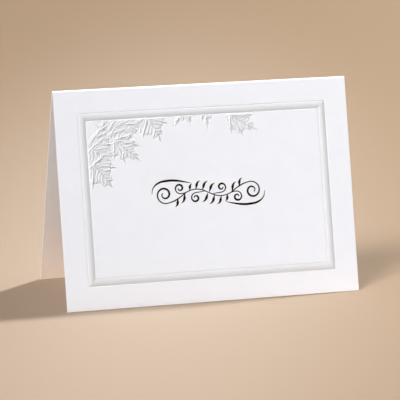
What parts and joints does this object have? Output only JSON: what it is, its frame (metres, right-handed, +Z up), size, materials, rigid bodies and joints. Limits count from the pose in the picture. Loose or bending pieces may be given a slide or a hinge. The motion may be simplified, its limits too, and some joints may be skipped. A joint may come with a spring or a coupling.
{
  "type": "folded greeting card",
  "caption": "Folded note card standing as a tent, with a raised mitred frame and raised maple leaves pressed into its front panel.",
  "frame": {"origin": "midway between the two standing edges, on the surface that the card stands on, under the middle of the fold", "axes": "+X along the fold, to the right as the front is read; +Y from the front panel towards the back panel; +Z up"},
  "size_m": [0.1238, 0.0494, 0.0855],
  "materials": {
    "card_stock": "matte",
    "gilt_foil": "satin"
  },
  "bodies": {
    "root": {"card": "card_stock"}
  },
  "joints": []
}
